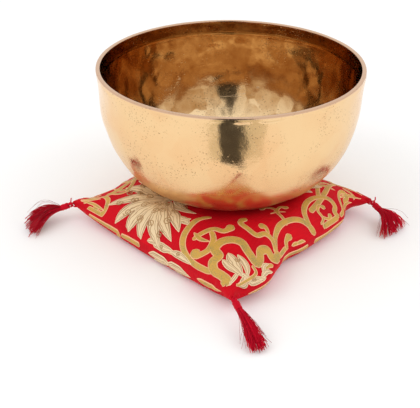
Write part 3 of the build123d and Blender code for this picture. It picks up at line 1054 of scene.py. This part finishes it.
def makeOrnamentTree(material):
    # lays flat ribbons on the settled cloth, as thin closed relief
    tree, given = newGeometryTree("ornament_laying", {"Cloth": "Object", "Raise": "Float", "Sink": "Float"})
    steps = [(-1, 0), (-0.86, 0.75), (-0.45, 0.95), (0, 1), (0.45, 0.95), (0.86, 0.75), (1, 0),
             (0.5, -1), (-0.5, -1)]  # the ribbon's section
    line = addNode(tree, "GeometryNodeCurvePrimitiveCircle", {"Resolution": len(steps), "Radius": 1.0})
    index = addNode(tree, "GeometryNodeInputIndex").outputs[0]
    side, rise = 0.0, 0.0
    for number, (x, y) in enumerate(steps):
        here = addNode(tree, "FunctionNodeCompare", {2: index, 3: number},
                       data_type="INT", operation="EQUAL").outputs[0]
        side = plus(tree, side, times(tree, here, float(x)))
        rise = plus(tree, rise, times(tree, here, float(y)))
    section = storeAttribute(tree, line.outputs[0], "across", side)
    section = storeAttribute(tree, section, "rise", rise)

    # each ribbon keeps its width, direction and middle line when it becomes a mesh
    path = given["Geometry"]
    for name, kind in (("width", "Radius"), ("heading", "Tangent"), ("centre", "Position")):
        value = addNode(tree, "GeometryNodeInput" + kind).outputs[0]
        path = storeAttribute(tree, path, name, value, "FLOAT" if name == "width" else "FLOAT_VECTOR")
    inputs = {"Curve": path, "Profile Curve": section, "Fill Caps": True}
    ribbon = addNode(tree, "GeometryNodeCurveToMesh", inputs)

    centre = readAttribute(tree, "centre", "FLOAT_VECTOR")
    aside = addVector(tree, "CROSS_PRODUCT", (0, 0, 1), readAttribute(tree, "heading", "FLOAT_VECTOR"))
    reach = times(tree, readAttribute(tree, "across"), readAttribute(tree, "width"))
    flat = addVector(tree, "ADD", centre, addVector(tree, "SCALE", aside, scale=reach))
    layer = addNode(tree, "ShaderNodeSeparateXYZ", {0: centre}).outputs[2]
    cloth = addNode(tree, "GeometryNodeObjectInfo", {"Object": given["Cloth"]}, transform_space="RELATIVE")
    spread = readAttribute(tree, "cloth", "FLOAT_VECTOR")

    def sampled(kind):
        value = addNode(tree, "GeometryNodeInput" + kind).outputs[0]
        inputs = {"Mesh": cloth.outputs["Geometry"], "Value": value, "UV Map": spread, "Sample UV": flat}
        return addNode(tree, "GeometryNodeSampleUVSurface", inputs, data_type="FLOAT_VECTOR").outputs[0]

    spot, normal = sampled("Position"), addVector(tree, "NORMALIZE", sampled("Normal"))
    rise = readAttribute(tree, "rise")
    up = times(tree, addMath(tree, "MAXIMUM", rise, 0.0), given["Raise"])
    down = times(tree, addMath(tree, "MINIMUM", rise, 0.0), given["Sink"])
    lift = plus(tree, plus(tree, up, down), layer)
    laid = addVector(tree, "ADD", spot, addVector(tree, "SCALE", normal, scale=lift))
    moved = addNode(tree, "GeometryNodeSetPosition", {"Geometry": ribbon.outputs[0], "Position": laid})
    endGeometryTree(tree, smoothShaded(tree, moved.outputs[0]), material)
    return tree


def layMotifs(name, motifs, tree, cloth):
    curve = bpy.data.curves.new(name, "CURVE")
    curve.dimensions = "3D"
    limit = cushionShape["side"] / 2 * math.sqrt(2) - ornamentLook["seamMargin"]
    tip = limit - ornamentLook["cornerMargin"]
    lift = 0.0004 if name.startswith("brown") else 0.0
    for layer, (width, shape, points, turn, mirror, island) in enumerate(motifs):
        path, along, total = smoothPath(points, ornamentLook["step"])
        radii = motifRadii(shape, width, along, total) * 0.001
        path = path * 0.001 * turn * np.array([mirror, 1])
        # kept inside the seam
        seamReach = np.abs(path).sum(1) + radii * math.sqrt(2)
        cornerReach = (np.abs(path).max(1) + radii) * limit / tip
        path *= np.minimum(1, limit / np.maximum(seamReach, cornerReach))[:, None]
        spline = curve.splines.new("POLY")
        spline.points.add(len(path) - 1)
        for target, (x, y), size in zip(spline.points, path, radii):
            target.co = (x + island, y, lift + 0.00003 * (layer % 9), 1)
            target.radius = float(size)
    laid = runTree(makeObject(name, curve), tree, dict(ornamentRaise, Cloth=cloth), name)
    turnOutward(laid.data)
    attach(laid, "cushion")
    print(name, "laid,", len(laid.data.polygons), "faces")


def onCircle(radius, angle):
    return radius * math.cos(angle), radius * math.sin(angle)


def makeOrnament(cloth):
    # a medallion and a wreath lie at the middle of each cover
    turns = [k * math.pi / 4 for k in range(8)]
    medallion = [(6.5, "leaf", [onCircle(5, turn), onCircle(26, turn)]) for turn in turns]
    wreath = [(2.6, "band", [onCircle(31, a) for a in np.linspace(start, start + 1.45, 8)])
              for start in (0.05, 1.62, 3.19, 4.76)]
    curls = []
    for x, y, size, start in flowerCurls:
        turns = [onCircle(size * (1 - t / 11), t + start) for t in np.linspace(0, 3.1 * math.pi, 12)]
        curls.append((0.36, "band", [(x + a, y + b) for a, b in turns]))
    kinds = (("gold", goldMotifs, lowerGold, wreath),
             ("cream", creamMotifs, lowerCream, medallion),
             ("brown", curls, [], []))
    for name, motifs, lower, middle in kinds:
        tree = makeOrnamentTree(makeOrnamentMaterial(name))
        # the front half's motifs are turned for the back, and mirrored on the lower cover
        full = [(*motif, turn, 1, 0.0) for turn in (1, -1) for motif in motifs]
        full += [(*motif, turn, -1, 1.0) for turn in (1, -1) for motif in motifs
                 if max(abs(x) + abs(y) for x, y in motif[2]) < 126]
        full += [(*motif, 1, 1, island) for island in (0.0, 1.0) for motif in middle]
        full += [(*motif, turn, 1, 1.0) for turn in (1, -1) for motif in lower]
        layMotifs(name + "_ornament", full, tree, cloth)


gatherShape = {
    "folds": 7,
    "start": -0.017,  # from the ear hole, towards the cushion
    "end": 0.0046,
    "startWidth": 0.0040,
    "endWidth": 0.0027,
    "thickness": 0.0016,
    "thickening": 0.0012,
    "rows": 26,
    "ring": 56,
}


def makeGathers(cloth):
    g = gatherShape
    rows, ring = g["rows"], g["ring"]
    for side in sides:
        hole, _, outward, sideways, _, _ = tasselFrame(side)
        up = Vector((0, 0, 1))
        points, faces = [], []
        for row in range(rows):
            t = row / (rows - 1)
            width = g["startWidth"] * (1 - t) ** 1.3 + g["endWidth"] * (1 - (1 - t) ** 1.3)
            thick = g["thickness"] + g["thickening"] * t
            # both ends are rounded off
            closing = 1.0
            if t > 0.93:
                closing = max(math.sqrt(max(0.0, 1 - ((t - 0.93) / 0.07) ** 2)), 0.05)
            if t < 0.06:
                closing = max(t / 0.06, 0.1)
            width, thick = width * closing, thick * closing
            for k in range(ring):
                a = 2 * math.pi * k / ring
                fold = 1 + (0.10 + 0.02 * t) * math.sin(g["folds"] * a + 2 * t)
                points.append(hole + outward * (g["start"] + (g["end"] - g["start"]) * t)
                              + sideways * width * fold * math.cos(a) + up * thick * fold * math.sin(a))
        for row in range(rows - 1):
            for k in range(ring):
                n = (k + 1) % ring
                faces.append((row * ring + k, row * ring + n, (row + 1) * ring + n, (row + 1) * ring + k))
        faces += [tuple(range(ring))[::-1], tuple((rows - 1) * ring + k for k in range(ring))]
        gather = makeMesh(side + "_gather", points, faces)
        turnOutward(gather.data)
        layer = gather.data.uv_layers.new(name="cloth")
        corners = gather.data.vertices
        spots = np.array([corners[loop.vertex_index].co[:2] for loop in gather.data.loops], np.float32)
        layer.data.foreach_set("uv", spots.ravel())
        gather.data.materials.append(cloth.data.materials[0])
        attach(gather, "cushion")
    print("corner gathers done")


cameraView = {
    "place": (-0.00257, -0.62202, 0.38283),
    "down": 32.249,
    "aside": 1.528,
    "lens": 59.83,
}
studioLook = {
    "floorTones": ((0.93, 0.93, 0.93, 1), (0.95, 0.95, 0.95, 1)),
    "sky": 0.97,
    # name, place, width and power of each lamp
    "lamps": (("softbox_left", (-1.5, -0.6, 1.5), 1.6, 9), ("softbox_right", (1.6, -0.3, 1.5), 1.6, 7)),
    "lampTarget": (0, 0, 0.08),
    "darkCard": (0.018, 0.017, 0.015, 1),
    "greyCard": (0.74, 0.74, 0.66, 1),
}


def makeCamera():
    camera = bpy.data.objects.new("camera", bpy.data.cameras.new("camera"))
    scene.collection.objects.link(camera)
    camera.location = cameraView["place"]
    camera.rotation_euler = (math.radians(90 - cameraView["down"]), 0, math.radians(cameraView["aside"]))
    camera.data.lens = cameraView["lens"]
    camera.data.clip_start = 0.01
    scene.camera = camera


def makeFloor():
    floor = makeMesh("floor", [(-6, -6, 0), (6, -6, 0), (6, 6, 0), (-6, 6, 0)], [(0, 1, 2, 3)], False)
    material, tree, shader = newMaterial("floor_paper")
    place = addNode(tree, "ShaderNodeTexCoord").outputs["Object"]
    shade = mixColor(tree, noise(tree, place, 3, 2), *studioLook["floorTones"])
    fillInputs(tree, shader, {"Base Color": shade, "Roughness": 0.9, "Specular IOR Level": 0.0})
    floor.data.materials.append(material)


def makeCard(name, points, faces, glow):
    # a card that is seen only in the metal
    card = makeMesh(name, points, faces, False)
    material, tree, shader = newMaterial(name)
    inputs = {"Base Color": (0, 0, 0, 1), "Emission Color": glow, "Emission Strength": 1.0}
    fillInputs(tree, shader, inputs)
    card.data.materials.append(material)
    card.visible_camera = card.visible_diffuse = False
    card.visible_shadow = card.visible_transmission = False


def makeStage():
    makeCamera()
    makeFloor()
    world = bpy.data.worlds.new("studio")
    world.use_nodes = True
    sky = world.node_tree.nodes["Background"]
    sky.inputs["Color"].default_value = (1, 1, 1, 1)
    sky.inputs["Strength"].default_value = studioLook["sky"]
    scene.world = world
    scene.view_settings.view_transform = "Standard"

    # the dark card has a strip on the table in front, a wall behind the camera and a top leaning over it
    strip = [(-0.045, -1.1, 0.002), (0.064, -1.1, 0.002), (0.050, -0.285, 0.002), (-0.034, -0.285, 0.002)]
    wall = [(-0.19, -0.80, 0.05), (0.26, -0.80, 0.05), (0.23, -0.80, 0.75), (-0.15, -0.80, 0.75)]
    top = [(0.08, -0.42, 1.20), (-0.05, -0.42, 1.20)]
    sides = [(0, 1, 2, 3), (4, 5, 6, 7), (7, 6, 8, 9)]
    makeCard("dark_card", strip + wall + top, sides, studioLook["darkCard"])
    wide = [(-0.13, -1.1, 0.001), (0.17, -1.1, 0.001), (0.15, -0.31, 0.001), (-0.09, -0.31, 0.001)]
    makeCard("grey_card", wide, [(0, 1, 2, 3)], studioLook["greyCard"])

    for name, place, size, power in studioLook["lamps"]:
        light = bpy.data.lights.new(name, "AREA")
        light.size = size
        light.energy = power
        lamp = bpy.data.objects.new(name, light)
        scene.collection.objects.link(lamp)
        lamp.location = place
        lamp.visible_glossy = False
        aim = Vector(studioLook["lampTarget"]) - Vector(place)
        lamp.rotation_euler = aim.to_track_quat("-Z", "Y").to_euler()
    print("stage done")


makeBowl()
cushion = makeCushion()
makeOrnament(cushion)
makeTassels()
makeGathers(cushion)
makeStage()
